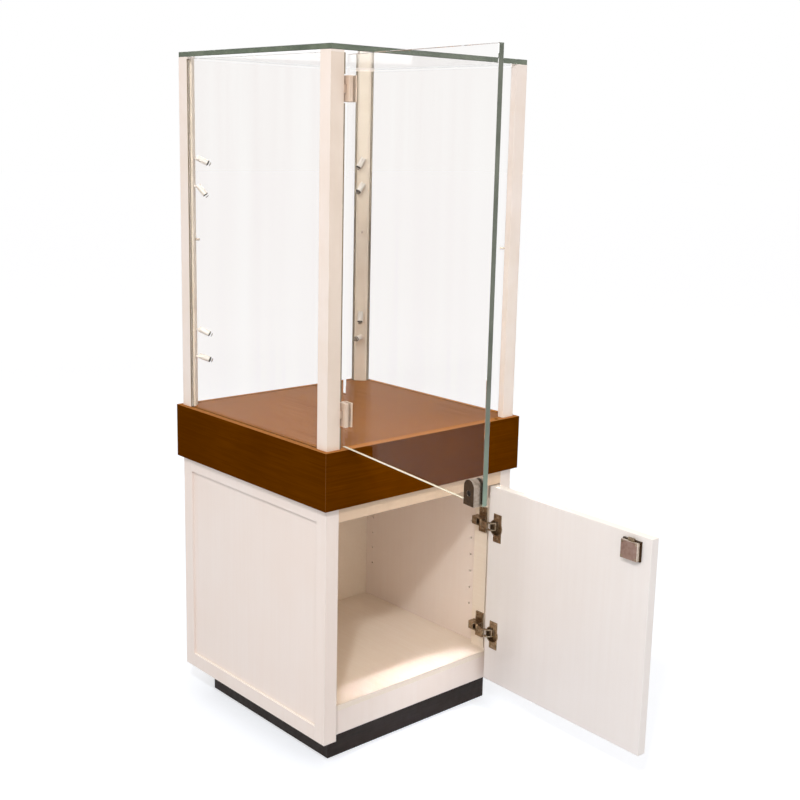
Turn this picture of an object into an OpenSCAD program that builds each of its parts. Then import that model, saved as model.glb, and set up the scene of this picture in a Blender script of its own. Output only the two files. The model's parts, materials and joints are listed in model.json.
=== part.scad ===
// Glass display cabinet: a white cupboard on a recessed plinth, a brown band
// with a deck, and a glass case above it with its own framed posts.
// X runs to the right, Y to the back and Z up. The origin is on the floor,
// under the middle of the cabinet. Both doors are drawn standing open.

/* [Cupboard] */
// Outer width and depth of the cupboard and of the glass case
case_w = 500; // [480:1:540]
// Height of the recessed plinth
plinth_h = 60; // [45:1:90]
// Setback of the plinth at the front, at the back and on the left
plinth_inset = 44; // [36:1:60]
// Setback of the plinth on the right
plinth_inset_right = 14; // [8:1:40]
// Thickness of the plinth boards
plinth_t = 18; // [15:1:22]
// Height of the cupboard above the plinth
carcass_h = 480; // [460:1:540]
// Side of the square cupboard posts, and height of the rails
frame_w = 30; // [28:1:34]
// Setback of the side panels from the outer faces
panel_recess = 5; // [3:1:7]
// Thickness of the side panels
panel_t = 13; // [10:1:15]
// Thickness of the back panel
back_t = 18; // [12:1:22]
// Thickness of the board that lies on the plinth
base_t = 16; // [12:1:20]
// Height of the rail under the cupboard floor
toe_h = 50; // [40:1:60]
// Thickness of the rail under the cupboard floor
toe_t = 18; // [15:1:22]
// Width of the bearers that carry the cupboard floor
bearer_w = 18; // [14:1:24]
// Thickness of the cupboard floor
floor_t = 12; // [10:1:16]
// Thickness of the cupboard's top board
ceiling_t = 18; // [15:1:22]
// Width of the batten that carries the concealed hinges
batten_w = 38; // [34:1:44]
// Shadow gap between the batten and the front post
batten_gap = 3; // [2:1:5]
// Height of the cleats along the top of the side panels
cleat_h = 64; // [50:1:70]

/* [Shelf pin holes] */
// Diameter of a shelf pin hole
pin_hole_d = 5; // [4:0.5:6]
// Depth of a shelf pin hole
pin_hole_depth = 9; // [6:1:9]
// Height of the lowest hole above the cupboard floor
pin_hole_z = 84; // [60:1:100]
// Spacing of the holes
pin_hole_pitch = 38.5; // [32:0.5:42]
// Holes in each column
pin_hole_count = 6; // [3:1:6]
// Distance of the front column from the front of the cupboard
pin_front_y = 93; // [85:1:120]
// Distance of the rear column from the back of the cupboard
pin_rear_y = 70; // [60:1:90]

/* [Band and deck] */
// Height of the brown band
band_h = 113; // [90:1:130]
// Overhang of the band past the cupboard
band_out = 10; // [6:1:14]
// Thickness of the band boards
band_t = 28; // [24:1:34]
// Width of the ledge that carries the deck
ledge_w = 8; // [6:1:10]
// Thickness of the deck board
deck_t = 12; // [9:1:18]
// Joint round the deck board
deck_gap = 0.5; // [0.3:0.1:0.8]

/* [Glass case] */
// Height of the glass case posts
showcase_h = 719; // [640:1:800]
// Side of a glass case post
post_w = 30; // [28:1:32]
// Leg of the chamfer on a post's inner corner
post_chamfer = 16; // [14:1:17]
// Height of the pad on each post
pad_h = 4; // [3:0.5:6]
// Thickness of the fixed panes
pane_t = 5; // [4:0.5:6]
// Wall of a post outside the pane groove
pane_lip = 2; // [1.5:0.5:3]
// Depth of the pane groove
groove_depth = 8; // [6:0.5:9]
// Play of a pane in its groove, on each side
groove_play = 0.2; // [0.1:0.1:0.3]
// Thickness of the top glass
top_t = 10; // [8:1:12]
// Ground edge on the glass
glass_arris = 0.6; // [0.3:0.1:1]

/* [Glass door] */
// Angle that the glass door stands open
glass_open = 98; // [0:1:120]
// Thickness of the glass door's pane
door_glass_t = 10; // [8:0.5:10.5]
// Gap between the glass door and its hinge post
glass_gap_hinge = 4; // [3:0.5:5]
// Gap at the glass door's free edge
glass_gap_free = 2; // [1.5:0.5:3]
// Gap above and below the glass door
glass_gap_z = 2; // [1.5:0.5:4]
// Height of a glass hinge
ghinge_h = 46; // [40:1:56]
// Width of a glass hinge clamp
ghinge_w = 22; // [20:1:26]
// Outer jaw of a glass hinge clamp
ghinge_jaw = 7.4; // [7:0.2:8]
// Inner jaw of a glass hinge clamp
ghinge_inner = 3.6; // [3:0.2:4]
// Height of the middle knuckle
ghinge_knuckle = 15; // [12:1:18]
// Distance of the hinge pin from the post
ghinge_reach = 9; // [8.5:0.5:10]
// Diameter of the hinge pin
ghinge_pin_d = 3.4; // [3:0.2:3.8]
// Centre of the lower glass hinge above the band
ghinge_low_z = 66; // [50:1:120]
// Centre of the upper glass hinge below the post tops
ghinge_high_z = 62; // [50:1:120]
// Width of the glass door lock
glock_w = 27; // [25:1:32]
// Height of the glass door lock
glock_h = 43; // [41:1:50]
// Thickness of the glass door lock
glock_t = 14; // [12:0.5:14.5]
// Thickness of the plate behind the glass
glock_plate_t = 4; // [3:0.5:5]
// Distance of the lock from the glass door's free edge
glock_edge = 4; // [2:1:8]
// Height of the key plug above the bottom of the lock
glock_key_z = 20; // [19:1:22]
// Diameter of the key plug
glock_plug_d = 10; // [8:0.5:11]
// Diameter of the bolt
glock_bolt_d = 8; // [6:0.5:8.5]
// Travel of the bolt
glock_throw = 12; // [8:1:12]

/* [Cupboard door] */
// Angle that the cupboard door stands open
cupboard_open = 88; // [0:1:110]
// Thickness of the cupboard door
door_t = 20; // [19:0.5:22]
// Gap between the cupboard door and the frame beside and above it
door_gap = 2; // [1.5:0.5:3]
// Gap above the cupboard door
door_gap_top = 3; // [2:0.5:4]
// Gap between the closed cupboard door and the rail behind it
door_gap_back = 1; // [0.6:0.1:2]
// Height of the rail that shows below the cupboard door
door_foot = 8; // [4:1:12]
// Distance of the turning axis from the frame
door_axis_x = 5.5; // [5.3:0.1:6]
// Distance of the turning axis from the door's front face
door_axis_y = 3; // [2.5:0.1:3.5]
// Centre of the upper concealed hinge below the door's top edge
hinge_high_z = 89; // [70:1:120]
// Centre of the lower concealed hinge above the door's bottom edge
hinge_low_z = 108; // [80:1:130]
// Diameter of a hinge cup
cup_d = 35; // [34:0.5:36]
// Depth of a hinge cup
cup_depth = 11.5; // [11:0.5:13]
// Distance of a cup's centre from the door's hinged edge
cup_edge = 22; // [21:0.5:23]
// Height of a cup's flange
flange_h = 62; // [52:1:66]
// Width of a cup's flange
flange_w = 23; // [20:1:26]
// Reach of a hinge's link fork from the middle of its cup
fork_reach = 20.3; // [20:0.1:20.6]
// Width of a hinge arm
arm_w = 17.6; // [16.6:0.5:20]
// Length of a hinge arm
arm_len = 29; // [27:0.5:33]
// Width of a hinge link
link_w = 12; // [11:0.5:12.5]
// Length of a hinge link between its ends
link_len = 29.7; // [29:0.1:30]
// Thickness of a hinge link
link_t = 4.4; // [4:0.2:4.6]
// Diameter of a hinge link's pin
link_pin_d = 4.2; // [3.6:0.2:4.6]
// Height of a hinge's mounting plate
plate_h = 56; // [46:1:60]
// Width of the cupboard door lock
dlock_w = 41; // [36:1:44]
// Height of the cupboard door lock
dlock_h = 37; // [34:1:38]
// Thickness of the cupboard door lock
dlock_t = 13; // [12:0.5:13]
// Distance of the lock's centre from the door's free edge
dlock_edge = 44; // [36:1:60]
// Distance of the lock's centre from the door's top edge
dlock_top = 30.5; // [28:0.5:34]
// Diameter of the lock barrel
dlock_barrel_d = 18; // [16:1:20]
// Diameter of the lock's key plug
dlock_plug_d = 10; // [8:0.5:12]
// Width of the bolt
dlock_bolt_w = 15; // [12:1:18]
// Thickness of the bolt
dlock_bolt_t = 4; // [3:0.5:4.5]
// Height of the bolt's tip below the door's top edge
dlock_tip = 7; // [6:0.5:9]
// Travel of the bolt
dlock_throw = 24; // [22:1:26]

/* [Lamps and pegs] */
// Height of the highest lamps above the band
lamp_high_z = 522; // [480:1:560]
// Height of the lowest lamps above the band
lamp_low_z = 107; // [90:1:140]
// Spacing of the lamps in a pair
lamp_pitch = 57.5; // [48:0.5:70]
// Angles at the knuckles of the left post's lamps, from the highest
lamp_tilt_left = [26, 50, 24, 18]; // [0:1:75]
// Angles at the knuckles of the right post's lamps, from the highest
lamp_tilt_right = [70, 55, 62, 20]; // [0:1:75]
// Turns of the left post's lamp stems in their holes, from the highest
lamp_turn_left = [0, 0, 0, -20]; // [-90:1:90]
// Turns of the right post's lamp stems in their holes, from the highest
lamp_turn_right = [-28, -28, 0, -80]; // [-90:1:90]
// Diameter of a lamp head
lamp_d = 12; // [11:0.5:13]
// Length of a lamp head
lamp_len = 24; // [21:1:27]
// Diameter of a lamp stem
stem_d = 5; // [4:0.5:6]
// Distance of a lamp's pivot from its post
lamp_reach = 9.5; // [9:0.5:12]
// Depth of the stem and peg holes in a post
socket_depth = 6; // [4:0.5:7]
// Height of the shelf pegs above the band
peg_z = 355; // [300:1:400]
// Diameter of a shelf peg
peg_d = 5; // [4:0.5:6]
// Length of a shelf peg that stands out of its post
peg_out = 10; // [6:1:14]

/* [Fits] */
// Radial play of a pin, plug or bolt in its hole
running = 0.05; // [0.02:0.01:0.1]
// Play of a bolt in its strike hole
strike_play = 1; // [0.5:0.1:1.5]
// Eased edge on the doors
ease = 0.8; // [0.4:0.1:1.2]

/* [Hidden] */
$fn = 48;
cut = 1;

cream = [0.94, 0.88, 0.82];
inside_white = [0.88, 0.82, 0.74];
brown = [0.35, 0.18, 0.05];
deck_brown = [0.62, 0.40, 0.25];
plinth_brown = [0.14, 0.10, 0.08];
glass_tint = [0.75, 0.88, 0.80, 0.35];
nickel = [0.46, 0.39, 0.33];
bronze = [0.30, 0.22, 0.18];
lamp_white = [0.90, 0.87, 0.84];

// Outer and inner faces of the cupboard frame
half = case_w / 2;
inner = half - frame_w;
panel_out = half - panel_recess;
panel_in = panel_out - panel_t;
back_in = inner - back_t;
// Levels of the cupboard
z_base = plinth_h;
z_top = z_base + carcass_h;
z_rail_low = z_base + frame_w;
z_rail_high = z_top - frame_w;
z_ceiling = z_top - ceiling_t;
z_board = z_base + base_t;
z_floor = z_base + toe_h;
z_floor_top = z_floor + floor_t;
plinth_half = half - plinth_inset;
plinth_right = half - plinth_inset_right;
door_back = -half + door_t;
toe_front = door_back + door_gap_back;
toe_back = toe_front + toe_t;
batten_front = -inner + batten_gap;
batten_back = batten_front + batten_w;
// Band, deck and glass case
band_half = half + band_out;
deck_half = band_half - band_t + ledge_w;
z_band = z_top + band_h;
z_deck = z_band - deck_t;
z_post = z_band + showcase_h;
z_glass_top = z_post + pad_h;
post_in = half - post_w;
pane_half = post_in + groove_depth - 2 * groove_play;
chamfer_mid = half - post_w + post_chamfer / 2;

// Glass door, in its closed place
glass_x0 = -post_in + glass_gap_hinge;
glass_x1 = post_in - glass_gap_free;
glass_y0 = -half + ghinge_jaw;
glass_y1 = glass_y0 + door_glass_t;
glass_z0 = z_band + glass_gap_z;
glass_z1 = z_post - glass_gap_z;
glass_axis = [-post_in + ghinge_reach, -half + ghinge_jaw / 2];
ghinge_zs = [z_band + ghinge_low_z, z_post - ghinge_high_z];
ghinge_web = glass_gap_hinge / 2;
ghinge_x0 = glass_x0 - ghinge_web;
knuckle_r = ghinge_jaw / 2 - 0.4;
knuckle_gap = 0.3;
knuckle_room = 6.5;
leaf_t = 3;
leaf_inset = 1;
leaf_w = post_w - post_chamfer - 2 * leaf_inset;
glock_x = glass_x1 - glock_edge - glock_w / 2;
glock_bolt_y = glass_y0 - glock_t / 2;
glock_bolt_z0 = glass_z0 + 1;
glock_bolt_clear = 1.5;
glock_bolt_len = glock_key_z - glock_plug_d / 2 - glock_bolt_clear;
glock_floor = 2;
glock_plug_len = glock_t - glock_floor;
glock_plug_sink = 0.8;
key_slot_w = 1.6;
key_slot_depth = 2.5;
key_slot_h = 0.6;

// Cupboard door, in its closed place
door_half = inner - door_gap;
door_z0 = z_base + door_foot;
door_z1 = z_rail_high - door_gap_top;
door_axis = [inner - door_axis_x, -half + door_axis_y];
hinge_zs = [door_z0 + hinge_low_z, door_z1 - hinge_high_z];
cup_x = door_half - cup_edge;
cup_wall = 1;
cup_floor = 1.3;
flange_t = 1.2;
flange_edge = 15;
flange_rim = 1;
fork_w = 2.5;
fork_t = 4;
fork_root_off = 7;
fork_root_deep = 6;
fork_knee_off = 13.5;
fork_knee_up = 4;
fork_tip_up = 3.6;
fork_foot = 3.5;
fork_root = [cup_x + fork_root_off, door_back - fork_root_deep];
fork_knee = [cup_x + fork_knee_off, door_back + fork_knee_up];
fork_tip = [cup_x + fork_reach, door_back + fork_tip_up];
arm_low = 4;
arm_high = 21;
arm_off = 11;
arm_front = door_back + arm_off;
arm_back = arm_front + arm_len;
arm_slot = 15;
arm_floor = 9;
arm_gap = 0.3;
plate_w = 21;
plate_step = 3;
plate_front = arm_front + plate_step;
link_axis_in = 16;
link_axis_back = 17;
link_axis = [inner - link_axis_in, door_back + link_axis_back];
link_closed_dir = 230.4;
link_ratio = 0.226;
link_ring = 8.4;
dlock_x = -door_half + dlock_edge;
dlock_z = door_z1 - dlock_top;
dlock_z1 = dlock_z + dlock_h / 2;
dlock_z0 = dlock_z - dlock_h / 2;
dlock_bolt_off = 4;
dlock_bolt_y = door_back + dlock_bolt_off + dlock_bolt_t / 2;
dlock_bolt_z1 = door_z1 - dlock_tip;
dlock_bolt_floor = 3.5;
dlock_bolt_z0 = dlock_z0 + dlock_bolt_floor;
dlock_rim_d = dlock_barrel_d + 4;
dlock_rim_t = 1.5;
plug_proud = 0.5;

// Lamps
lamp_zs = [
  z_band + lamp_high_z, z_band + lamp_high_z - lamp_pitch,
  z_band + lamp_low_z + lamp_pitch, z_band + lamp_low_z
];
lamp_rear = 3;
tongue_t = 3;
tongue_h = 4.8;
tongue_slot = 3.2;
slot_depth = 7.5;
lamp_pin_d = 2;
collar_clear = 7.3;
collar_len = lamp_reach - collar_clear;
lens_d = lamp_d - 2.4;
lens_depth = 2;

// A box between two corners
module block(lo, hi) {
  translate(lo) cube(hi - lo);
}

// A rectangle with its corners cut, centred on the origin
module cut_rect(w, h, c) {
  polygon([
    [-w / 2 + c, -h / 2], [w / 2 - c, -h / 2], [w / 2, -h / 2 + c], [w / 2, h / 2 - c],
    [w / 2 - c, h / 2], [-w / 2 + c, h / 2], [-w / 2, h / 2 - c], [-w / 2, -h / 2 + c]
  ]);
}

// A box between two corners with a small flat on every edge
module eased_block(lo, hi, c) {
  s = hi - lo;
  translate((lo + hi) / 2)
    intersection() {
      translate([0, 0, -s.z / 2]) linear_extrude(s.z) cut_rect(s.x, s.y, c);
      rotate([90, 0, 0])
        translate([0, 0, -s.y / 2]) linear_extrude(s.y) cut_rect(s.x, s.z, c);
      rotate([90, 0, 90])
        translate([0, 0, -s.x / 2]) linear_extrude(s.x) cut_rect(s.y, s.z, c);
    }
}

// A flat bar with round ends between two points, centred on a height
module bar(p, q, w, z, h) {
  d = q - p;
  translate([p.x, p.y, z - h / 2])
    linear_extrude(h)
      union() {
        circle(d = w);
        translate(d) circle(d = w);
        rotate(atan2(d.y, d.x)) translate([0, -w / 2]) square([norm(d), w]);
      }
}

// A round hole or rod along the given compass angle, starting at a point
module rod(p, angle, d, len) {
  translate(p) rotate([0, 90, angle]) cylinder(d = d, h = len);
}

// Turns its children about an upright axis
module swing(axis, angle) {
  translate([axis.x, axis.y, 0])
    rotate(angle)
      translate([-axis.x, -axis.y, 0]) children();
}

// Glass door and cupboard door parts are drawn closed and then swung open
module glass_door_place() {
  swing(glass_axis, -glass_open) children();
}

module cupboard_door_place() {
  swing(door_axis, cupboard_open) children();
}

// Puts its children at one corner of a square frame of the given half width
module corner(sx, sy) {
  translate([sx * half, sy * half, 0])
    mirror([sx > 0 ? 1 : 0, 0, 0])
      mirror([0, sy > 0 ? 1 : 0, 0]) children();
}

// Plinth
module plinth_front() {
  color(plinth_brown)
    block([-plinth_half, -plinth_half, 0], [plinth_right, -plinth_half + plinth_t, plinth_h]);
}

module plinth_back() {
  color(plinth_brown)
    block([-plinth_half, plinth_half - plinth_t, 0], [plinth_right, plinth_half, plinth_h]);
}

module plinth_ribs() {
  color(plinth_brown)
    for (x = [-plinth_half, -plinth_t / 2, plinth_right - plinth_t])
      block([x, -plinth_half + plinth_t, 0], [x + plinth_t, plinth_half - plinth_t, plinth_h]);
}

module base_board() {
  color(inside_white) block([-inner, toe_back, z_base], [inner, inner, z_board]);
}

// Cupboard frame
module cupboard_post(sx, sy) {
  color(cream) corner(sx, sy) block([0, 0, z_base], [frame_w, frame_w, z_top]);
}

module front_top_rail() {
  slot_w = dlock_bolt_w / 2 + strike_play;
  color(cream)
    difference() {
      block([-inner, -half, z_rail_high], [inner, -inner, z_top]);
      block(
        [dlock_x - slot_w, dlock_bolt_y - dlock_bolt_t / 2 - strike_play, z_rail_high - cut],
        [dlock_x + slot_w, -inner + cut, dlock_bolt_z1 + dlock_throw + strike_play]
      );
    }
}

module front_toe_rail() {
  color(cream) block([-inner, toe_front, z_base], [inner, toe_back, z_floor]);
}

module side_rails(x) {
  color(cream)
    for (z = [z_base, z_rail_high])
      block([x, -inner, z], [x + frame_w, inner, z + frame_w]);
}

module rear_rails() {
  color(cream)
    for (z = [z_base, z_rail_high])
      block([-inner, inner, z], [inner, half, z + frame_w]);
}

// Side panel with its two columns of shelf pin holes
module side_panel(sx) {
  color(cream)
    mirror([sx > 0 ? 0 : 1, 0, 0])
      difference() {
        block([panel_in, -inner, z_rail_low], [panel_out, inner, z_rail_high]);
        for (y = [-half + pin_front_y, half - pin_rear_y], i = [0 : pin_hole_count - 1])
          rod(
            [panel_in - cut, y, z_floor_top + pin_hole_z + i * pin_hole_pitch],
            0, pin_hole_d, pin_hole_depth + cut
          );
      }
}

module back_panel() {
  color(inside_white)
    translate([0, inner, 0])
      rotate([90, 0, 0])
        linear_extrude(back_t)
          polygon([
            [-inner, z_board], [inner, z_board], [inner, z_rail_low], [panel_in, z_rail_low],
            [panel_in, z_rail_high], [inner, z_rail_high], [inner, z_ceiling],
            [-inner, z_ceiling], [-inner, z_rail_high], [-panel_in, z_rail_high],
            [-panel_in, z_rail_low], [-inner, z_rail_low]
          ]);
}

module cupboard_floor() {
  color(inside_white)
    translate([0, 0, z_floor])
      linear_extrude(floor_t)
        polygon([
          [-inner, toe_front], [inner, toe_front], [inner, -inner], [panel_in, -inner],
          [panel_in, back_in], [-panel_in, back_in], [-panel_in, -inner], [-inner, -inner]
        ]);
}

module floor_bearers() {
  color(inside_white)
    for (x = [-inner, inner - bearer_w])
      block([x, toe_back, z_board], [x + bearer_w, back_in, z_floor]);
}

module cupboard_ceiling() {
  color(inside_white) block([-inner, -inner, z_ceiling], [inner, inner, z_top]);
}

module hinge_batten() {
  color(inside_white)
    block([inner, batten_front, z_floor_top], [panel_in, batten_back, z_rail_high]);
}

module side_cleats() {
  color(inside_white) {
    block([-panel_in, -inner, z_rail_high - cleat_h], [-inner, back_in, z_rail_high]);
    block([inner, batten_back, z_rail_high - cleat_h], [panel_in, back_in, z_rail_high]);
  }
}

// One mitred band board with the ledge for the deck; side 0 is the front
module band_board(side) {
  color(brown)
    difference() {
      rotate(side * 90)
        translate([0, 0, z_top])
          linear_extrude(band_h)
            polygon([
              [-band_half, -band_half], [band_half, -band_half],
              [band_half - band_t, -band_half + band_t], [-band_half + band_t, -band_half + band_t]
            ]);
      block([-deck_half, -deck_half, z_deck], [deck_half, deck_half, z_band + cut]);
      if (side == 0)
        translate([glock_x, glock_bolt_y, z_band - glock_throw])
          cylinder(d = glock_bolt_d + strike_play, h = glock_throw + cut);
    }
}

module deck_board() {
  w = deck_half - deck_gap;
  color(deck_brown) block([-w, -w, z_deck], [w, w, z_band]);
}

// Section of a glass case post, with its outer corner at the origin
module post_section(side_groove, end_groove) {
  far = post_w - post_chamfer;
  g0 = pane_lip - groove_play;
  g1 = pane_lip + pane_t + groove_play;
  difference() {
    polygon([[0, 0], [post_w, 0], [post_w, far], [far, post_w], [0, post_w]]);
    if (side_groove)
      translate([g0, post_w - groove_depth]) square([g1 - g0, groove_depth + cut]);
    if (end_groove)
      translate([post_w - groove_depth, g0]) square([groove_depth + cut, g1 - g0]);
  }
}

// Holes in a post's chamfer for lamp stems and for a shelf peg
module post_sockets(zs, d) {
  mid = half - chamfer_mid;
  for (z = zs)
    rod([mid - socket_depth * sqrt(0.5), mid - socket_depth * sqrt(0.5), z], 45,
      d + 2 * running, socket_depth + cut);
}

module glass_post(sx, sy) {
  rear = sy > 0;
  color(cream)
    difference() {
      corner(sx, sy)
        difference() {
          translate([0, 0, z_band]) linear_extrude(showcase_h) post_section(true, rear);
          post_sockets([z_band + peg_z], peg_d);
          if (rear) post_sockets(lamp_zs, stem_d);
        }
      if (sx < 0 && sy < 0)
        for (z = ghinge_zs) leaf_plate(z, cut);
    }
}

module post_pads() {
  color(cream)
    for (sx = [-1, 1], sy = [-1, 1])
      corner(sx, sy)
        translate([0, 0, z_post]) linear_extrude(pad_h) post_section(false, false);
}

// Fixed panes stand on the band with their edges in the post grooves
module side_pane(sx) {
  color(glass_tint)
    mirror([sx > 0 ? 0 : 1, 0, 0])
      eased_block(
        [half - pane_lip - pane_t, -pane_half, z_band], [half - pane_lip, pane_half, z_post],
        glass_arris
      );
}

module rear_pane() {
  color(glass_tint)
    eased_block(
      [-pane_half, half - pane_lip - pane_t, z_band], [pane_half, half - pane_lip, z_post],
      glass_arris
    );
}

module top_glass() {
  color(glass_tint)
    eased_block([-half, -half, z_glass_top], [half, half, z_glass_top + top_t], glass_arris);
}

module shelf_pegs() {
  start = -socket_depth + running;
  color(nickel)
    for (sx = [-1, 1], sy = [-1, 1])
      corner(sx, sy)
        let (p = half - chamfer_mid + start * sqrt(0.5))
          rod([p, p, z_band + peg_z], 45, peg_d, peg_out - start);
}

// Glass door
module glass_door_pane() {
  color(glass_tint)
    glass_door_place()
      eased_block([glass_x0, glass_y0, glass_z0], [glass_x1, glass_y1, glass_z1], glass_arris);
}

// Plate let into the post for one glass hinge
module leaf_plate(z, extra) {
  block(
    [-post_in - leaf_t, -half + leaf_inset, z - ghinge_h / 2],
    [-post_in + extra, -half + leaf_inset + leaf_w, z + ghinge_h / 2]
  );
}

module glass_hinge_leaves() {
  color(cream)
    for (z = ghinge_zs)
      difference() {
        union() {
          leaf_plate(z, 0);
          translate([glass_axis.x, glass_axis.y, z])
            cylinder(r = knuckle_r, h = ghinge_knuckle, center = true);
          block(
            [-post_in, glass_axis.y - knuckle_r + 0.3, z - ghinge_knuckle / 2],
            [glass_axis.x, glass_axis.y + knuckle_r - 0.3, z + ghinge_knuckle / 2]
          );
        }
        ghinge_bore(z);
      }
}

module ghinge_bore(z) {
  translate([glass_axis.x, glass_axis.y, z])
    cylinder(d = ghinge_pin_d + 2 * running, h = ghinge_h + 2 * cut, center = true);
}

module glass_hinge_clamps() {
  room = ghinge_knuckle / 2 + knuckle_gap;
  color(cream)
    glass_door_place()
      for (z = ghinge_zs)
        difference() {
          eased_block(
            [ghinge_x0, -half, z - ghinge_h / 2],
            [ghinge_x0 + ghinge_w, glass_y1 + ghinge_inner, z + ghinge_h / 2], ease
          );
          block(
            [glass_x0, glass_y0, z - ghinge_h],
            [ghinge_x0 + ghinge_w + cut, glass_y1, z + ghinge_h]
          );
          block(
            [ghinge_x0 - cut, -half - cut, z - room],
            [glass_axis.x + knuckle_room, glass_y0, z + room]
          );
          ghinge_bore(z);
        }
}

module glass_hinge_pins() {
  color(nickel)
    for (z = ghinge_zs)
      translate([glass_axis.x, glass_axis.y, z])
        cylinder(d = ghinge_pin_d, h = ghinge_h, center = true);
}

// Outline of the glass door lock: a block with a half round top
module glock_outline() {
  translate([-glock_w / 2, 0]) square([glock_w, glock_h - glock_w / 2]);
  translate([0, glock_h - glock_w / 2]) circle(d = glock_w);
}

module glock_slab(y, t) {
  translate([glock_x, y + t, glass_z0])
    rotate([90, 0, 0]) linear_extrude(t) glock_outline();
}

// A cylinder that lies along Y
module y_rod(x, y, z, d, len) {
  translate([x, y, z]) rotate([-90, 0, 0]) cylinder(d = d, h = len);
}

module glass_lock_body() {
  color(bronze)
    glass_door_place()
      difference() {
        glock_slab(glass_y0 - glock_t, glock_t);
        y_rod(glock_x, glass_y0 - glock_t - cut, glass_z0 + glock_key_z,
          glock_plug_d + 2 * running, glock_plug_len + cut);
        translate([glock_x, glock_bolt_y, glass_z0 - cut])
          cylinder(d = glock_bolt_d + 2 * running, h = glock_key_z + cut);
      }
}

module glass_lock_plate() {
  color(bronze) glass_door_place() glock_slab(glass_y1, glock_plate_t);
}

// A key plug with a keyway across its face
module key_plug(x, y, z, d, len) {
  difference() {
    y_rod(x, y, z, d, len);
    block(
      [x - key_slot_w / 2, y - cut, z - key_slot_h * d / 2],
      [x + key_slot_w / 2, y + key_slot_depth, z + key_slot_h * d / 2]
    );
  }
}

module glass_lock_plug() {
  color(bronze)
    glass_door_place()
      key_plug(glock_x, glass_y0 - glock_t + glock_plug_sink, glass_z0 + glock_key_z,
        glock_plug_d, glock_plug_len - glock_plug_sink - 2 * running);
}

module glass_lock_bolt() {
  color(nickel)
    glass_door_place()
      translate([glock_x, glock_bolt_y, glock_bolt_z0])
        cylinder(d = glock_bolt_d, h = glock_bolt_len);
}

// Cupboard door
module cupboard_door() {
  color(cream)
    cupboard_door_place()
      difference() {
        eased_block([-door_half, -half, door_z0], [door_half, door_back, door_z1], ease);
        for (z = hinge_zs)
          y_rod(cup_x, door_back - cup_depth, z, cup_d, cup_depth + cut);
        y_rod(dlock_x, -half - cut, dlock_z, dlock_barrel_d + 2 * running, door_t + 2 * cut);
      }
}

module fork(z) {
  for (s = [-1, 1]) {
    zc = z + s * (link_w / 2 + arm_gap + fork_w / 2);
    bar(fork_root, fork_knee, fork_t, zc, fork_w);
    bar(fork_knee, fork_tip, fork_t, zc, fork_w);
  }
}

// Cup, flange and link fork of each concealed hinge, on the door
module hinge_cups() {
  x0 = door_half - flange_edge - flange_w;
  depth = cup_depth - running;
  color(nickel)
    cupboard_door_place()
      for (z = hinge_zs)
        union() {
          difference() {
            union() {
              y_rod(cup_x, door_back - depth, z, cup_d - 2 * running, depth + flange_t);
              y_rod(cup_x, door_back, z, cup_d + 2 * flange_rim, flange_t);
              block([x0, door_back, z - flange_h / 2],
                [x0 + flange_w, door_back + flange_t, z + flange_h / 2]);
            }
            y_rod(cup_x, door_back - depth + cup_floor, z, cup_d - 2 * cup_wall,
              depth + flange_t);
          }
          fork(z);
          bar(fork_root, fork_root - [0, fork_foot], fork_t, z,
            link_w + 2 * arm_gap + 2 * fork_w);
        }
}

// Plate and arm of each concealed hinge, on the batten
module hinge_arms() {
  x0 = inner - arm_high;
  x1 = inner - arm_low;
  color(nickel)
    for (z = hinge_zs)
      union() {
        block([x1, plate_front, z - plate_h / 2], [inner, plate_front + plate_w, z + plate_h / 2]);
        difference() {
          block([x0, arm_front, z - arm_w / 2], [x1, arm_back, z + arm_w / 2]);
          block([x0 - cut, arm_front - cut, z - link_w / 2 - arm_gap],
            [x0 + arm_high - arm_floor, arm_front + arm_slot, z + link_w / 2 + arm_gap]);
        }
        translate([link_axis.x, link_axis.y, z])
          cylinder(d = link_pin_d, h = arm_w - 1, center = true);
      }
}

// Link of each concealed hinge, turned with the door
module hinge_links() {
  tip = link_axis + link_len * [cos(link_closed_dir), sin(link_closed_dir)];
  color(nickel)
    swing(link_axis, link_ratio * cupboard_open)
      for (z = hinge_zs)
        difference() {
          union() {
            bar(link_axis, tip, link_t, z, link_w);
            translate([link_axis.x, link_axis.y, z])
              cylinder(d = link_ring, h = link_w, center = true);
          }
          translate([link_axis.x, link_axis.y, z])
            cylinder(d = link_pin_d + 2 * running, h = link_w + 2 * cut, center = true);
        }
}

// Room for the bolt inside the cupboard door lock
module dlock_bolt_block(play, z0, z1) {
  block(
    [dlock_x - dlock_bolt_w / 2 - play, dlock_bolt_y - dlock_bolt_t / 2 - play, z0],
    [dlock_x + dlock_bolt_w / 2 + play, dlock_bolt_y + dlock_bolt_t / 2 + play, z1]
  );
}

module door_lock_body() {
  color(nickel)
    cupboard_door_place()
      difference() {
        union() {
          eased_block([dlock_x - dlock_w / 2, door_back, dlock_z0],
            [dlock_x + dlock_w / 2, door_back + dlock_t, dlock_z1], ease);
          y_rod(dlock_x, -half, dlock_z, dlock_barrel_d, door_t + cut);
          y_rod(dlock_x, -half - dlock_rim_t, dlock_z, dlock_rim_d, dlock_rim_t);
        }
        dlock_bolt_block(2 * running, dlock_bolt_z0 - 0.5, dlock_z1 + cut);
        y_rod(dlock_x, -half - dlock_rim_t - cut, dlock_z, dlock_plug_d + 2 * running,
          dlock_bolt_y - dlock_bolt_t / 2 + half + dlock_rim_t + cut);
      }
}

module door_lock_plug() {
  y0 = -half - dlock_rim_t - plug_proud;
  color(nickel)
    cupboard_door_place()
      key_plug(dlock_x, y0, dlock_z, dlock_plug_d, dlock_bolt_y - dlock_bolt_t / 2 - 0.5 - y0);
}

module door_lock_bolt() {
  color(nickel)
    cupboard_door_place() dlock_bolt_block(0, dlock_bolt_z0, dlock_bolt_z1);
}

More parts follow.
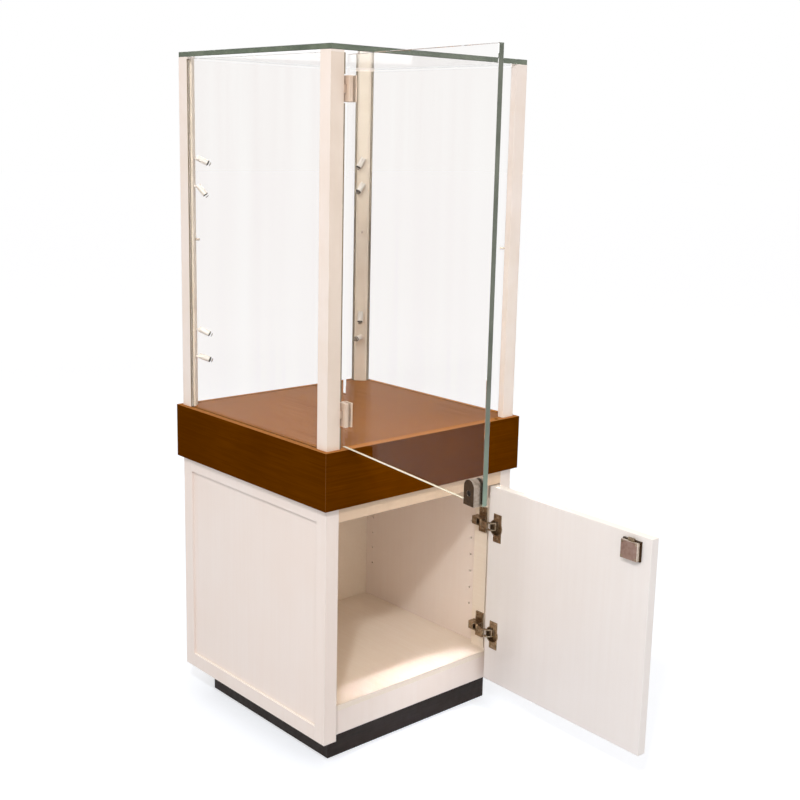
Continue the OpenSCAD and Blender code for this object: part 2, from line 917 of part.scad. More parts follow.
// Frame of one lamp: the origin is its pivot, X points away from the post,
// and its stem is turned in its hole
module lamp_place(sx, i) {
  d = lamp_reach * sqrt(0.5);
  turn = sx < 0 ? lamp_turn_left[i] : lamp_turn_right[i];
  translate([sx * (chamfer_mid - d), chamfer_mid - d, lamp_zs[i]])
    rotate(sx < 0 ? -45 : -135)
      rotate([turn, 0, 0]) children();
}

module lamp_stem() {
  difference() {
    union() {
      rod([-lamp_reach - socket_depth + running, 0, 0], 0, stem_d,
        socket_depth - running + collar_len);
      block([-lamp_reach + collar_len / 2, -tongue_t / 2, -tongue_h / 2],
        [0, tongue_t / 2, tongue_h / 2]);
      rotate([90, 0, 0]) cylinder(d = tongue_h, h = tongue_t, center = true);
    }
    rotate([90, 0, 0])
      cylinder(d = lamp_pin_d + 2 * running, h = tongue_t + 2 * cut, center = true);
  }
}

module lamp_stems() {
  color(lamp_white)
    for (sx = [-1, 1], i = [0 : len(lamp_zs) - 1]) lamp_place(sx, i) lamp_stem();
}

// A small cylindrical spot with a slot behind and a recessed lens
module lamp_head(sx, i) {
  tilt = sx < 0 ? lamp_tilt_left[i] : lamp_tilt_right[i];
  color(lamp_white)
    lamp_place(sx, i)
      rotate([0, tilt, 0])
        union() {
          difference() {
            rod([-lamp_rear, 0, 0], 0, lamp_d, lamp_len);
            block([-lamp_rear - cut, -tongue_slot / 2, -lamp_d],
              [slot_depth - lamp_rear, tongue_slot / 2, lamp_d]);
            rod([lamp_len - lamp_rear - lens_depth, 0, 0], 0, lens_d, lens_depth + cut);
          }
          rotate([90, 0, 0]) cylinder(d = lamp_pin_d, h = lamp_d - 2, center = true);
        }
}

plinth_front();
plinth_back();
plinth_ribs();
base_board();
cupboard_post(-1, -1);  // cupboard_post_front_left
cupboard_post(1, -1);  // cupboard_post_front_right
cupboard_post(-1, 1);  // cupboard_post_rear_left
cupboard_post(1, 1);  // cupboard_post_rear_right
front_top_rail();
front_toe_rail();
side_rails(-half);  // left_rails
side_rails(inner);  // right_rails
rear_rails();
side_panel(-1);  // left_panel
side_panel(1);  // right_panel
back_panel();
cupboard_floor();
floor_bearers();
cupboard_ceiling();
hinge_batten();
side_cleats();
band_board(0);  // band_front
band_board(1);  // band_right
band_board(2);  // band_back
band_board(3);  // band_left
deck_board();
glass_post(-1, -1);  // glass_post_front_left
glass_post(1, -1);  // glass_post_front_right
glass_post(-1, 1);  // glass_post_rear_left
glass_post(1, 1);  // glass_post_rear_right
post_pads();
side_pane(-1);  // left_pane
side_pane(1);  // right_pane
rear_pane();
top_glass();
shelf_pegs();
glass_door_pane();
glass_hinge_leaves();
glass_hinge_clamps();
glass_hinge_pins();
glass_lock_body();
glass_lock_plate();
glass_lock_plug();
glass_lock_bolt();
cupboard_door();
hinge_cups();
hinge_arms();
hinge_links();
door_lock_body();
door_lock_plug();
door_lock_bolt();
lamp_stems();
lamp_head(-1, 0);  // lamp_head_left_1
lamp_head(-1, 1);  // lamp_head_left_2
lamp_head(-1, 2);  // lamp_head_left_3
lamp_head(-1, 3);  // lamp_head_left_4
lamp_head(1, 0);  // lamp_head_right_1
lamp_head(1, 1);  // lamp_head_right_2
lamp_head(1, 2);  // lamp_head_right_3
lamp_head(1, 3);  // lamp_head_right_4
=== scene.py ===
import json
import math

import bmesh
import bpy
from mathutils import Matrix, Vector


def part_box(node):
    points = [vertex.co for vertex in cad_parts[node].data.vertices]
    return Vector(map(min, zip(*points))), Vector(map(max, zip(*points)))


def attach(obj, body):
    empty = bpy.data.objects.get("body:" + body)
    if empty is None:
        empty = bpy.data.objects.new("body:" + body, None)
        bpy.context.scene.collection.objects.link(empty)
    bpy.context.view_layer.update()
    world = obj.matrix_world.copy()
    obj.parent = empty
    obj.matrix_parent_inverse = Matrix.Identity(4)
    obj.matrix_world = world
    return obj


# A glass display cabinet: white lacquered cupboard, brown band and a glass case with spot lamps.
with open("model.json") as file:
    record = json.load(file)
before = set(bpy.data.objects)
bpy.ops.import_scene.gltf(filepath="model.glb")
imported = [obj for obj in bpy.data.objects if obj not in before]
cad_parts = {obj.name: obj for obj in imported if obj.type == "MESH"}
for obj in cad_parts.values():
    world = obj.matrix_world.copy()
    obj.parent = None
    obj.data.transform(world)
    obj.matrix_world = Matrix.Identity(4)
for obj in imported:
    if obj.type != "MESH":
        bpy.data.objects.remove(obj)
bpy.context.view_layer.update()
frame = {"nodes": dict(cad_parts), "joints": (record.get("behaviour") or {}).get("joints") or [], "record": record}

MM = 0.001

# Camera of the photograph
CAMERA_PLACE = Vector((-1.5947, -1.96195, 1.23247))
CAMERA_AZIMUTH = math.radians(-42.454)
CAMERA_ELEVATION = math.radians(11.517)
CAMERA_ROLL = math.radians(1.444)
CAMERA_LENS = 54.45
CAMERA_SENSOR = 36
# Middle of the view, in pixels of the 800 pixel wide photograph
PHOTO_SIDE = 800
VIEW_MIDDLE_X = 416.825
VIEW_MIDDLE_Y = 381.905

# Screws, as radius and height of the head
FLANGE_SCREW = (3.6 * MM, 1.0 * MM)
PLATE_SCREW = (3.4 * MM, 1.6 * MM)
LEAF_SCREW = (2.6 * MM, 0.5 * MM)
CLAMP_SCREW = (2.4 * MM, 0.6 * MM)
SCREW_SIDES = 32
# Shares of a screw head's radius: its shoulder, its eased edges and the arms of its cross recess
SCREW_SHOULDER = 0.3
SCREW_EASE = 0.06
RECESS_LENGTH = 1.15
RECESS_WIDTH = 0.26
# Shares of its height: the rise of its dome, and the height and the middle of the recess
SCREW_DOME = 0.35
RECESS_HEIGHT = 1.3
RECESS_MIDDLE = 1.2


def linear(code):
    """Turns an sRGB hex colour into linear RGBA."""
    parts = [int(code[i : i + 2], 16) / 255 for i in (1, 3, 5)]
    return (*[c / 12.92 if c <= 0.04045 else ((c + 0.055) / 1.055) ** 2.4 for c in parts], 1)


def per_size(size_mm):
    """Scale of a pattern on object coordinates whose features are this many millimetres across."""
    return 1 / (size_mm * MM)


def add_node(tree, kind, settings=None, links=None):
    """Adds a node with settings of its properties or sockets and links to its sockets."""
    node = tree.nodes.new(kind)
    for name, value in (settings or {}).items():
        if isinstance(name, str) and hasattr(node, name):
            setattr(node, name, value)
        else:
            node.inputs[name].default_value = value
    for name, output in (links or {}).items():
        tree.links.new(output, node.inputs[name])
    return node


# Sockets of a Mix node that mixes colours
MIX_FIRST = 6
MIX_SECOND = 7
MIX_COLOUR = 2

# Sockets of a Map Range node: the levels it reads and those it gives
RANGE = ("From Min", "From Max", "To Min", "To Max")
# Levels of a noise pattern that a change of colour or of roughness is spread over
NARROW = (0.35, 0.65)
BROAD = (0.35, 0.7)
WIDE = (0.3, 0.7)
# Agreement of the eased and the plain normal, from where an edge starts to show to where it is full
EDGE = (0.98, 0.8)
# Upright part of the normal of faces that look up, which get a painted highlight, and of those that look down,
# which get painted shade
UP_FACES_PAINTED_HIGHLIGHT = (0.8, 0.95)
DOWN_FACES_PAINTED_SHADE = (-0.8, -0.95)


def new_finish(name, **shader_values):
    """Starts a material: its node tree, its shader and its object coordinates."""
    material = bpy.data.materials.new(name)
    material.use_nodes = True
    tree = material.node_tree
    shader = tree.nodes["Principled BSDF"]
    for socket, value in shader_values.items():
        shader.inputs[socket.replace("_", " ")].default_value = value
    place = add_node(tree, "ShaderNodeTexCoord").outputs["Object"]
    return material, tree, shader, place


def lay_over(tree, pattern, levels, under, over, most=1.0):
    """Lays a colour over another, up to this much, as a pattern goes from one level to the next."""
    span = dict(zip(RANGE, (*levels, 0.0, most)))
    amount = add_node(tree, "ShaderNodeMapRange", span, {"Value": pattern})
    settings = {"data_type": "RGBA"}
    links = {0: amount.outputs["Result"]}
    for socket, colour in ((MIX_FIRST, under), (MIX_SECOND, over)):
        if isinstance(colour, str):
            settings[socket] = linear(colour)
        else:
            links[socket] = colour
    return add_node(tree, "ShaderNodeMix", settings, links).outputs[MIX_COLOUR]


def eased_edges(tree, radius_mm):
    """Normal of a surface with eased edges, and how far it agrees with the plain one."""
    eased = add_node(tree, "ShaderNodeBevel", {"samples": 6, "Radius": radius_mm * MM})
    plain = add_node(tree, "ShaderNodeNewGeometry")
    turn = add_node(tree, "ShaderNodeVectorMath", {"operation": "DOT_PRODUCT"},
                    {0: eased.outputs["Normal"], 1: plain.outputs["Normal"]})
    return eased.outputs["Normal"], turn.outputs["Value"]


def way_faced(tree):
    """Upright part of a surface's normal: 1 where it looks up, -1 where it looks down."""
    plain = add_node(tree, "ShaderNodeNewGeometry")
    parts = add_node(tree, "ShaderNodeSeparateXYZ", None, {"Vector": plain.outputs["Normal"]})
    return parts.outputs["Z"]


def give_surface(tree, shader, colour, relief, strength, depth_mm, normal=None,
                 sheen=None, polish=None):
    """Gives a shader its colour and relief, and a roughness that follows a pattern of its sheen."""
    tree.links.new(colour, shader.inputs["Base Color"])
    links = {"Height": relief, "Normal": normal} if normal else {"Height": relief}
    settings = {"Strength": strength, "Distance": depth_mm * MM}
    bump = add_node(tree, "ShaderNodeBump", settings, links)
    tree.links.new(bump.outputs["Normal"], shader.inputs["Normal"])
    if polish:
        span = dict(zip(RANGE, (*WIDE, *polish)))
        amount = add_node(tree, "ShaderNodeMapRange", span, {"Value": sheen})
        tree.links.new(amount.outputs["Result"], shader.inputs["Roughness"])


def sprayed_lacquer(name, light, dark, cloudy, edge):
    """Sprayed lacquer on MDF: a soft satin skin with faint upright sanding streaks and paler edges.

    Its paler edges are partly worn lacquer and partly painted highlight. Faces that look up are painted near white
    as painted highlight, and those that look down browner as painted shade.
    """
    material, tree, shader, place = new_finish(name, Roughness=0.36, Coat_Weight=0.15,
                                               Coat_Roughness=0.2)
    upright = add_node(tree, "ShaderNodeMapping", {"Scale": (1, 1, 0.04)}, {"Vector": place})
    streaks = add_node(tree, "ShaderNodeTexNoise", {"Scale": per_size(9), "Detail": 3.0},
                       {"Vector": upright.outputs["Vector"]})
    clouds = add_node(tree, "ShaderNodeTexNoise", {"Scale": per_size(160), "Detail": 2.0},
                      {"Vector": place})
    normal, edges = eased_edges(tree, 1.2)
    body = lay_over(tree, streaks.outputs["Fac"], NARROW, light, dark, 0.35)
    body = lay_over(tree, clouds.outputs["Fac"], NARROW, body, cloudy, 0.5)
    # Painted highlight on faces that look up and painted shade on faces that look down
    height = way_faced(tree)
    body = lay_over(tree, height, UP_FACES_PAINTED_HIGHLIGHT, body, "#fffaf4")
    body = lay_over(tree, height, DOWN_FACES_PAINTED_SHADE, body, "#b59a80")
    # Paler edges: partly worn lacquer and partly painted highlight
    body = lay_over(tree, edges, EDGE, body, edge)
    # Orange peel of the spray gun, drawn at 3 mm so that it shows
    peel = add_node(tree, "ShaderNodeTexNoise", {"Scale": per_size(3), "Detail": 1.0},
                    {"Vector": place})
    give_surface(tree, shader, body, peel.outputs["Fac"], 0.12, 0.2, normal,
                 peel.outputs["Fac"], (0.32, 0.42))
    return material


def inside_board():
    """Melamine faced board: warm white paper grain, slightly glossy, darker at the cut edges."""
    material, tree, shader, place = new_finish("melamine_faced_board", Roughness=0.4)
    lying = add_node(tree, "ShaderNodeMapping", {"Scale": (1, 0.06, 1)}, {"Vector": place})
    grain = add_node(tree, "ShaderNodeTexNoise", {"Scale": per_size(5), "Detail": 4.0},
                     {"Vector": lying.outputs["Vector"]})
    clouds = add_node(tree, "ShaderNodeTexNoise", {"Scale": per_size(90), "Detail": 2.0},
                      {"Vector": place})
    normal, edges = eased_edges(tree, 0.8)
    body = lay_over(tree, grain.outputs["Fac"], BROAD, "#f3e8db", "#eee0d1", 0.6)
    body = lay_over(tree, clouds.outputs["Fac"], (0.4, 0.65), body, "#efe2d3", 0.5)
    body = lay_over(tree, edges, EDGE, body, "#e2d2be")
    give_surface(tree, shader, body, grain.outputs["Fac"], 0.1, 0.1, normal,
                 grain.outputs["Fac"], (0.36, 0.46))
    return material


def plinth_board():
    """Black brown stained softwood: dull, with fine long grain and scuffed edges."""
    material, tree, shader, place = new_finish("black_brown_stained_wood", Roughness=0.55,
                                               Specular_IOR_Level=0.25)
    long = add_node(tree, "ShaderNodeMapping", {"Scale": (0.05, 0.05, 1)}, {"Vector": place})
    grain = add_node(tree, "ShaderNodeTexNoise", {"Scale": per_size(2.5), "Detail": 5.0},
                     {"Vector": long.outputs["Vector"]})
    scuffs = add_node(tree, "ShaderNodeTexNoise", {"Scale": per_size(14), "Detail": 5.0},
                      {"Vector": place})
    normal, edges = eased_edges(tree, 1.0)
    body = lay_over(tree, grain.outputs["Fac"], BROAD, "#1c120d", "#291c15")
    scuffed = lay_over(tree, scuffs.outputs["Fac"], (0.45, 0.7), body, "#6b5443")
    body = lay_over(tree, edges, EDGE, body, scuffed)
    give_surface(tree, shader, body, grain.outputs["Fac"], 0.35, 0.2, normal,
                 scuffs.outputs["Fac"], (0.48, 0.65))
    return material


def brown_lacquer():
    """Polished brown lacquer: deep colour, fine hidden grain, pale corners and a painted highlight on faces that
    look up.
    """
    material, tree, shader, place = new_finish("polished_brown_lacquer", Roughness=0.35,
                                               Specular_IOR_Level=0.0)
    long = add_node(tree, "ShaderNodeMapping", {"Scale": (0.03, 0.03, 1)}, {"Vector": place})
    grain = add_node(tree, "ShaderNodeTexNoise", {"Scale": per_size(3), "Detail": 4.0},
                     {"Vector": long.outputs["Vector"]})
    clouds = add_node(tree, "ShaderNodeTexNoise", {"Scale": per_size(130), "Detail": 2.0},
                      {"Vector": place})
    normal, edges = eased_edges(tree, 1.0)
    body = lay_over(tree, grain.outputs["Fac"], BROAD, "#552a00", "#603200")
    body = lay_over(tree, clouds.outputs["Fac"], NARROW, body, "#4e2500", 0.5)
    body = lay_over(tree, edges, EDGE, body, "#8a5a35")
    # Painted highlight: faces that look up are painted paler, as a light top rim
    body = lay_over(tree, way_faced(tree), (0.85, 0.95), body, "#a8703f")
    give_surface(tree, shader, body, grain.outputs["Fac"], 0.06, 0.1, normal,
                 clouds.outputs["Fac"], (0.3, 0.42))
    return material


def deck_laminate():
    """Tan laminate: fine wood print along the deck's depth, satin, its dark core at the rim."""
    material, tree, shader, place = new_finish("tan_wood_laminate", Roughness=0.34,
                                               Specular_IOR_Level=0.02)
    deep = add_node(tree, "ShaderNodeMapping", {"Scale": (1, 0.03, 1)}, {"Vector": place})
    grain = add_node(tree, "ShaderNodeTexNoise", {"Scale": per_size(6), "Detail": 6.0},
                     {"Vector": deep.outputs["Vector"]})
    # The printed pores are drawn coarser than real so that they show
    pores = add_node(tree, "ShaderNodeTexNoise", {"Scale": per_size(1.6), "Detail": 2.0},
                     {"Vector": deep.outputs["Vector"]})
    normal, edges = eased_edges(tree, 1.0)
    body = lay_over(tree, grain.outputs["Fac"], WIDE, "#8a520e", "#7f490a")
    body = lay_over(tree, pores.outputs["Fac"], (0.55, 0.75), body, "#7d4a2c", 0.35)
    body = lay_over(tree, edges, EDGE, body, "#6a3c16")
    give_surface(tree, shader, body, pores.outputs["Fac"], 0.12, 0.1, normal,
                 grain.outputs["Fac"], (0.3, 0.4))
    return material


def powder_coat(name, light, dark, edge, grit_mm):
    """Powder coated aluminium: a fine even grit in the coat, and slightly thin, paler edges."""
    material, tree, shader, place = new_finish(name, Roughness=0.4)
    # The grit of the powder is a tenth of a millimetre and is drawn coarser so that it shows
    grit = add_node(tree, "ShaderNodeTexNoise", {"Scale": per_size(grit_mm), "Detail": 2.0},
                    {"Vector": place})
    clouds = add_node(tree, "ShaderNodeTexNoise", {"Scale": per_size(70), "Detail": 2.0},
                      {"Vector": place})
    normal, edges = eased_edges(tree, 0.7)
    body = lay_over(tree, clouds.outputs["Fac"], NARROW, light, dark)
    body = lay_over(tree, edges, EDGE, body, edge)
    give_surface(tree, shader, body, grit.outputs["Fac"], 0.2, 0.08, normal,
                 grit.outputs["Fac"], (0.34, 0.46))
    return material


def plated_metal(name, light, dark, edge, polish):
    """Plated zinc casting: uneven polish with thin scratches and bright rubbed edges."""
    material, tree, shader, place = new_finish(name, Metallic=1.0)
    stain = add_node(tree, "ShaderNodeTexNoise", {"Scale": per_size(6), "Detail": 4.0},
                     {"Vector": place})
    # The scratches are hair thin and are drawn coarser so that they show
    brushed = add_node(tree, "ShaderNodeMapping", {"Scale": (1, 1, 0.05)}, {"Vector": place})
    scratches = add_node(tree, "ShaderNodeTexNoise", {"Scale": per_size(0.7), "Detail": 2.0},
                         {"Vector": brushed.outputs["Vector"]})
    normal, edges = eased_edges(tree, 0.4)
    body = lay_over(tree, stain.outputs["Fac"], BROAD, light, dark)
    body = lay_over(tree, edges, EDGE, body, edge)
    give_surface(tree, shader, body, scratches.outputs["Fac"], 0.15, 0.05, normal,
                 stain.outputs["Fac"], polish)
    return material


def clear_glass():
    """Float glass: clear and sharp, with the faintest drift in its tint.

    Its IOR is below that of glass, because the panes in the photograph reflect next to nothing.
    """
    material, tree, shader, place = new_finish("clear_float_glass", IOR=1.22, Roughness=0,
                                               Transmission_Weight=1.0,
                                               Specular_Tint=linear("#383838"))
    upright = add_node(tree, "ShaderNodeMapping", {"Scale": (1, 1, 0.04)}, {"Vector": place})
    drift = add_node(tree, "ShaderNodeTexNoise", {"Scale": per_size(40), "Detail": 2.0},
                     {"Vector": upright.outputs["Vector"]})
    tint = lay_over(tree, drift.outputs["Fac"], NARROW, "#fcfbfa", "#faf8f7")
    tree.links.new(tint, shader.inputs["Base Color"])
    # The lamps shine through the panes on what stands behind them
    open_way = add_node(tree, "ShaderNodeBsdfTransparent", {"Color": linear("#f8faf8")})
    rays = add_node(tree, "ShaderNodeLightPath")
    mix = add_node(tree, "ShaderNodeMixShader", None, {0: rays.outputs["Is Shadow Ray"],
                                                       1: shader.outputs["BSDF"],
                                                       2: open_way.outputs["BSDF"]})
    tree.links.new(mix.outputs["Shader"], tree.nodes["Material Output"].inputs["Surface"])
    return material


# Heights in metres at which the edge of the glass door starts to turn paler as painted light, and where it is
# palest
EDGE_FOOT = (0.85, 0.65)


def glass_edge(name, dark, light, foot=None):
    """Ground edge of float glass: tinted by the long way through, silky and uneven in depth.

    A foot colour of painted light shows towards the pane's foot, standing in for the light the edge gathers from
    the deck.
    """
    material, tree, shader, place = new_finish(name, Roughness=0.25, IOR=1.5,
                                               Transmission_Weight=0.25)
    depth = add_node(tree, "ShaderNodeTexNoise", {"Scale": per_size(45), "Detail": 3.0},
                     {"Vector": place})
    # The marks of the grinding wheel are drawn coarser than real so that they show
    grinding = add_node(tree, "ShaderNodeTexNoise", {"Scale": per_size(0.8), "Detail": 2.0},
                        {"Vector": place})
    body = lay_over(tree, depth.outputs["Fac"], NARROW, dark, light)
    if foot:
        height = add_node(tree, "ShaderNodeSeparateXYZ", None, {"Vector": place})
        body = lay_over(tree, height.outputs["Z"], EDGE_FOOT, body, foot)
    give_surface(tree, shader, body, grinding.outputs["Fac"], 0.1, 0.05)
    return material


def lens_glass():
    """Moulded lamp lens: dark when unlit, glossy, with the fine facets of a spread lens."""
    material, tree, shader, place = new_finish("moulded_lens_glass", Roughness=0.12, IOR=1.5)
    facets = add_node(tree, "ShaderNodeTexVoronoi", {"Scale": per_size(1.4)}, {"Vector": place})
    body = lay_over(tree, facets.outputs["Distance"], (0.0, 0.7), "#b3a796", "#7d7468")
    give_surface(tree, shader, body, facets.outputs["Distance"], 0.5, 0.2)
    return material


def seal_rubber():
    """Glazing rubber: dull grey brown, with a fine bloom of talc and small nozzle marks."""
    material, tree, shader, place = new_finish("grey_brown_glazing_rubber", Roughness=0.6)
    bloom = add_node(tree, "ShaderNodeTexNoise", {"Scale": per_size(25), "Detail": 4.0},
                     {"Vector": place})
    marks = add_node(tree, "ShaderNodeTexNoise", {"Scale": per_size(2), "Detail": 2.0},
                     {"Vector": place})
    body = lay_over(tree, bloom.outputs["Fac"], BROAD, "#75654f", "#8c7b67")
    give_surface(tree, shader, body, marks.outputs["Fac"], 0.3, 0.1, None,
                 bloom.outputs["Fac"], (0.5, 0.7))
    return material


def make_finishes():
    """The finish of each material slot."""
    return {
        "dark_plinth_board": plinth_board(),
        "inside_board": inside_board(),
        "cream_lacquer": sprayed_lacquer("sprayed_cream_lacquer",
                                         "#f3e8e2", "#efe1d9", "#f1e2d9", "#fbf4ee"),
        # Browner lacquer of the front top rail: painted shade under the band's overhang and painted reflection of
        # the brown band
        "rail_painted_shade_and_reflection": sprayed_lacquer("sprayed_lacquer_painted_shade_and_reflection",
                                        "#e0c4a8", "#dabc9f", "#ddc0a4", "#efdfcc"),
        # The door's edges are near white, partly as painted highlight
        "door_lacquer": sprayed_lacquer("sprayed_door_lacquer",
                                        "#f8f3f1", "#f3ece9", "#f4eeeb", "#fefbf8"),
        "brown_lacquer": brown_lacquer(),
        "deck_laminate": deck_laminate(),
        "cream_profile": powder_coat("cream_powder_coat", "#f2e6df", "#efe1d7", "#fbf3ec", 1.2),
        # Darker coat on the front left post's front face: painted shade
        "front_face_painted_shade": powder_coat("powder_coat_front_painted_shade",
                                     "#e7d7ca", "#e2d1c3", "#f3e8dd", 1.2),
        # Darker coat on the rear posts' inner faces: painted shade
        "inner_faces_painted_shade": powder_coat("powder_coat_inner_painted_shade", "#e3d6c6", "#dbccba", "#eee3d6", 1.2),
        "clear_glass": clear_glass(),
        "cream_hardware": powder_coat("cream_enamelled_zinc", "#d9c3b0", "#cfb7a3", "#ecdccd", 1.0),
        "nickel": plated_metal("nickel_plated_zinc", "#b09d85", "#77664f", "#e0d5c2", (0.25, 0.4)),
        # Bright nickel of the shelf pegs; on the sides of the cupboard door's lock it is brighter as painted
        # reflection
        "bright_nickel_and_painted_reflection": plated_metal("polished_nickel_plate_and_painted_reflection",
                                      "#d2c6b8", "#b6a898", "#f3ece0", (0.18, 0.32)),
        # Nickel of the glass lock's sides, paler as painted reflection
        "nickel_painted_reflection": plated_metal("nickel_plate_painted_reflection",
                                    "#ab9c8e", "#8d7d6e", "#ded3c6", (0.25, 0.4)),
        # Darker front of the cupboard door's lock: partly its taupe colour and partly painted reflection
        "taupe_zinc": plated_metal("taupe_zinc_front_painted_reflection",
                                   "#a68d82", "#977c70", "#cbb8ac", (0.28, 0.42)),
        # Blackened steel of the lamp bezels; on the glass lock's plug it is painted shade of the keyhole
        "dark_steel": plated_metal("dark_steel_and_painted_shade", "#352c25", "#261f1a", "#6b5f52", (0.35, 0.5)),
        "lock_bronze": plated_metal("dark_bronze_zinc",
                                    "#49341f", "#382717", "#8a7767", (0.3, 0.42)),
        "lamp_metal": powder_coat("white_powder_coat", "#e4ddd6", "#d8d1ca", "#f8f3ed", 0.9),
        "glass_edge": glass_edge("ground_glass_edge", "#4a5844", "#64705a"),
        # Paler towards the foot: painted light from the deck
        "door_glass_edge": glass_edge("silky_ground_glass_edge", "#646b5e", "#7b8174", "#93ab9b"),
        "pale_glass_edge": glass_edge("pale_ground_glass_edge", "#d2c6a6", "#ddd2b6"),
        # Brown foot of the fixed panes: painted reflection of the deck
        "foot_glass_edge": glass_edge("glass_edge_painted_deck_reflection", "#5a3c24", "#6e4c2f"),
        "seal_rubber": seal_rubber(),
        "lens_glass": lens_glass(),
    }


def joint(name):
    """One joint of the record."""
    return next(j for j in frame["joints"] if j["name"] == name)


def swing_open(name):
    """Carries what is laid out on a closed door to where that door stands open at rest."""
    hinge = joint(name)
    pivot = Vector(hinge["pos_m"])
    turn = Matrix.Rotation(math.radians(-hinge["range_deg"][0]), 4, Vector(hinge["axis"]))
    return Matrix.Translation(pivot) @ turn @ Matrix.Translation(-pivot)


def closed_box(node, hinge):
    """Lowest and highest corner of a door's CAD node with that door closed."""
    back = swing_open(hinge).inverted()
    points = [back @ v.co for v in frame["nodes"][node].data.vertices]
    low = Vector([min(p[i] for p in points) for i in range(3)])
    high = Vector([max(p[i] for p in points) for i in range(3)])
    return low, high


def facing(direction):
    """Turns the Z axis to this direction."""
    return Vector(direction).to_track_quat("Z", "Y").to_matrix().to_4x4()


def at(place, direction):
    """Puts a piece modelled along Z at a place, facing this direction."""
    return Matrix.Translation(place) @ facing(direction)


def clear_selection():
    """Deselects every object."""
    bpy.ops.object.select_all(action="DESELECT")


# How far a face's normal agrees with a direction: across it, partly along it and along it
ACROSS = 0.3
PARTLY = 0.5
ALONG = 0.9


def select_faces(piece, wanted):
    """Selects, in edit mode, the faces whose normal this test accepts."""
    bpy.ops.object.mode_set(mode="EDIT")
    bpy.ops.mesh.select_mode(type="FACE")
    bpy.ops.mesh.select_all(action="DESELECT")
    shape = bmesh.from_edit_mesh(piece.data)
    for face in shape.faces:
        face.select_set(wanted(face.normal))
    bmesh.update_edit_mesh(piece.data)


# Angles past which an edge is bevelled, and up to which it is shaded smooth
SHARP = math.radians(40)
SMOOTH = math.radians(35)


def apply_modifier(piece, kind, **settings):
    """Adds a modifier to the piece and applies it."""
    bpy.context.view_layer.objects.active = piece
    modifier = piece.modifiers.new(kind.lower(), kind)
    for name, value in settings.items():
        setattr(modifier, name, value)
    bpy.ops.object.modifier_apply(modifier=modifier.name)


def ease_edges(piece, width, segments=3):
    """Bevels the sharp edges of a piece."""
    apply_modifier(piece, "BEVEL", width=width, segments=segments, limit_method="ANGLE",
                   angle_limit=SHARP)


def smooth(piece):
    """Shades a piece smooth up to its edges."""
    clear_selection()
    piece.select_set(True)
    bpy.ops.object.shade_smooth_by_angle(angle=SMOOTH)


def put_copy(source, name, place, body):
    """Copies a modelled piece, with its own mesh, to its place on a body."""
    piece = source.copy()
    piece.data = source.data.copy()
    piece.name = name
    bpy.context.scene.collection.objects.link(piece)
    clear_selection()
    piece.select_set(True)
    bpy.context.view_layer.objects.active = piece
    piece.matrix_world = place
    bpy.ops.object.transform_apply(location=True, rotation=True, scale=True)
    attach(piece, body)


def screw_head(radius, height):
    """Models a domed screw head with a cross recess, seated at the origin and facing along Z."""
    clear_selection()
    bpy.ops.mesh.primitive_cylinder_add(vertices=SCREW_SIDES, radius=radius, depth=height,
                                        location=(0, 0, height / 2))
    head = bpy.context.object
    select_faces(head, lambda normal: normal.z > ALONG)
    bpy.ops.mesh.inset(thickness=SCREW_SHOULDER * radius)
    bpy.ops.transform.translate(value=(0, 0, SCREW_DOME * height))
    bpy.ops.object.mode_set(mode="OBJECT")
    for turn in (0, math.radians(90)):
        clear_selection()
        bpy.ops.mesh.primitive_cube_add(
            size=1, rotation=(0, 0, turn), location=(0, 0, RECESS_MIDDLE * height),
            scale=(RECESS_LENGTH * radius, RECESS_WIDTH * radius, RECESS_HEIGHT * height))
        cutter = bpy.context.object
        apply_modifier(head, "BOOLEAN", object=cutter, operation="DIFFERENCE", solver="EXACT")
        bpy.data.objects.remove(cutter)
    ease_edges(head, SCREW_EASE * radius, 2)
    smooth(head)
    return head


def put_screws(size, finish, label, places, body):
    """Models one screw head and copies it to each place on a body."""
    head = screw_head(*size)
    head.data.materials.append(finish)
    for count, place in enumerate(places, 1):
        put_copy(head, f"{label}_{count}", place, body)
    bpy.data.objects.remove(head)


# Concealed hinges: the cup's flange, the arm and its mounting plate
FLANGE_H = 62 * MM
FLANGE_MIDDLE = 26.5 * MM
FLANGE_T = 1.2 * MM
FLANGE_SCREW_OFF = 25 * MM
PLATE_MIDDLE_BACK = 15.5 * MM
PLATE_SCREW_OFF = 19 * MM
PLATE_FACE_OFF = 4 * MM
ARM_SCREWS_BACK = (10.5 * MM, 4 * MM)


def hinge_screws(finish):
    """Screws of the concealed hinges: two in each cup's flange, in each plate and on each arm."""
    swing = swing_open("cupboard_door_swing")
    low, high = closed_box("hinge_cups", "cupboard_door_swing")
    door_high = closed_box("cupboard_door", "cupboard_door_swing")[1]
    cup_heights = (low.z + FLANGE_H / 2, high.z - FLANGE_H / 2)
    places = []
    for height in cup_heights:
        for side in (-1, 1):
            place = Vector((door_high.x - FLANGE_MIDDLE, door_high.y + FLANGE_T,
                            height + side * FLANGE_SCREW_OFF))
            places.append(swing @ at(place, (0, 1, 0)))
    put_screws(FLANGE_SCREW, finish, "hinge_flange_screw", places, "cupboard_door")
    low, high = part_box("hinge_arms")
    plates = []
    arms = []
    for height in cup_heights:
        for side in (-1, 1):
            plates.append(at(Vector((high.x - PLATE_FACE_OFF, high.y - PLATE_MIDDLE_BACK,
                                     height + side * PLATE_SCREW_OFF)), (-1, 0, 0)))
        for back in ARM_SCREWS_BACK:
            arms.append(at(Vector((low.x, high.y - back, height)), (-1, 0, 0)))
    put_screws(PLATE_SCREW, finish, "hinge_plate_screw", plates, "root")
    put_screws(CLAMP_SCREW, finish, "hinge_arm_screw", arms, "root")


# Cupboard door lock: distance of its corner screws from its middle
DOOR_LOCK_SCREW_X = 16.5 * MM
DOOR_LOCK_SCREW_Z = 14.5 * MM


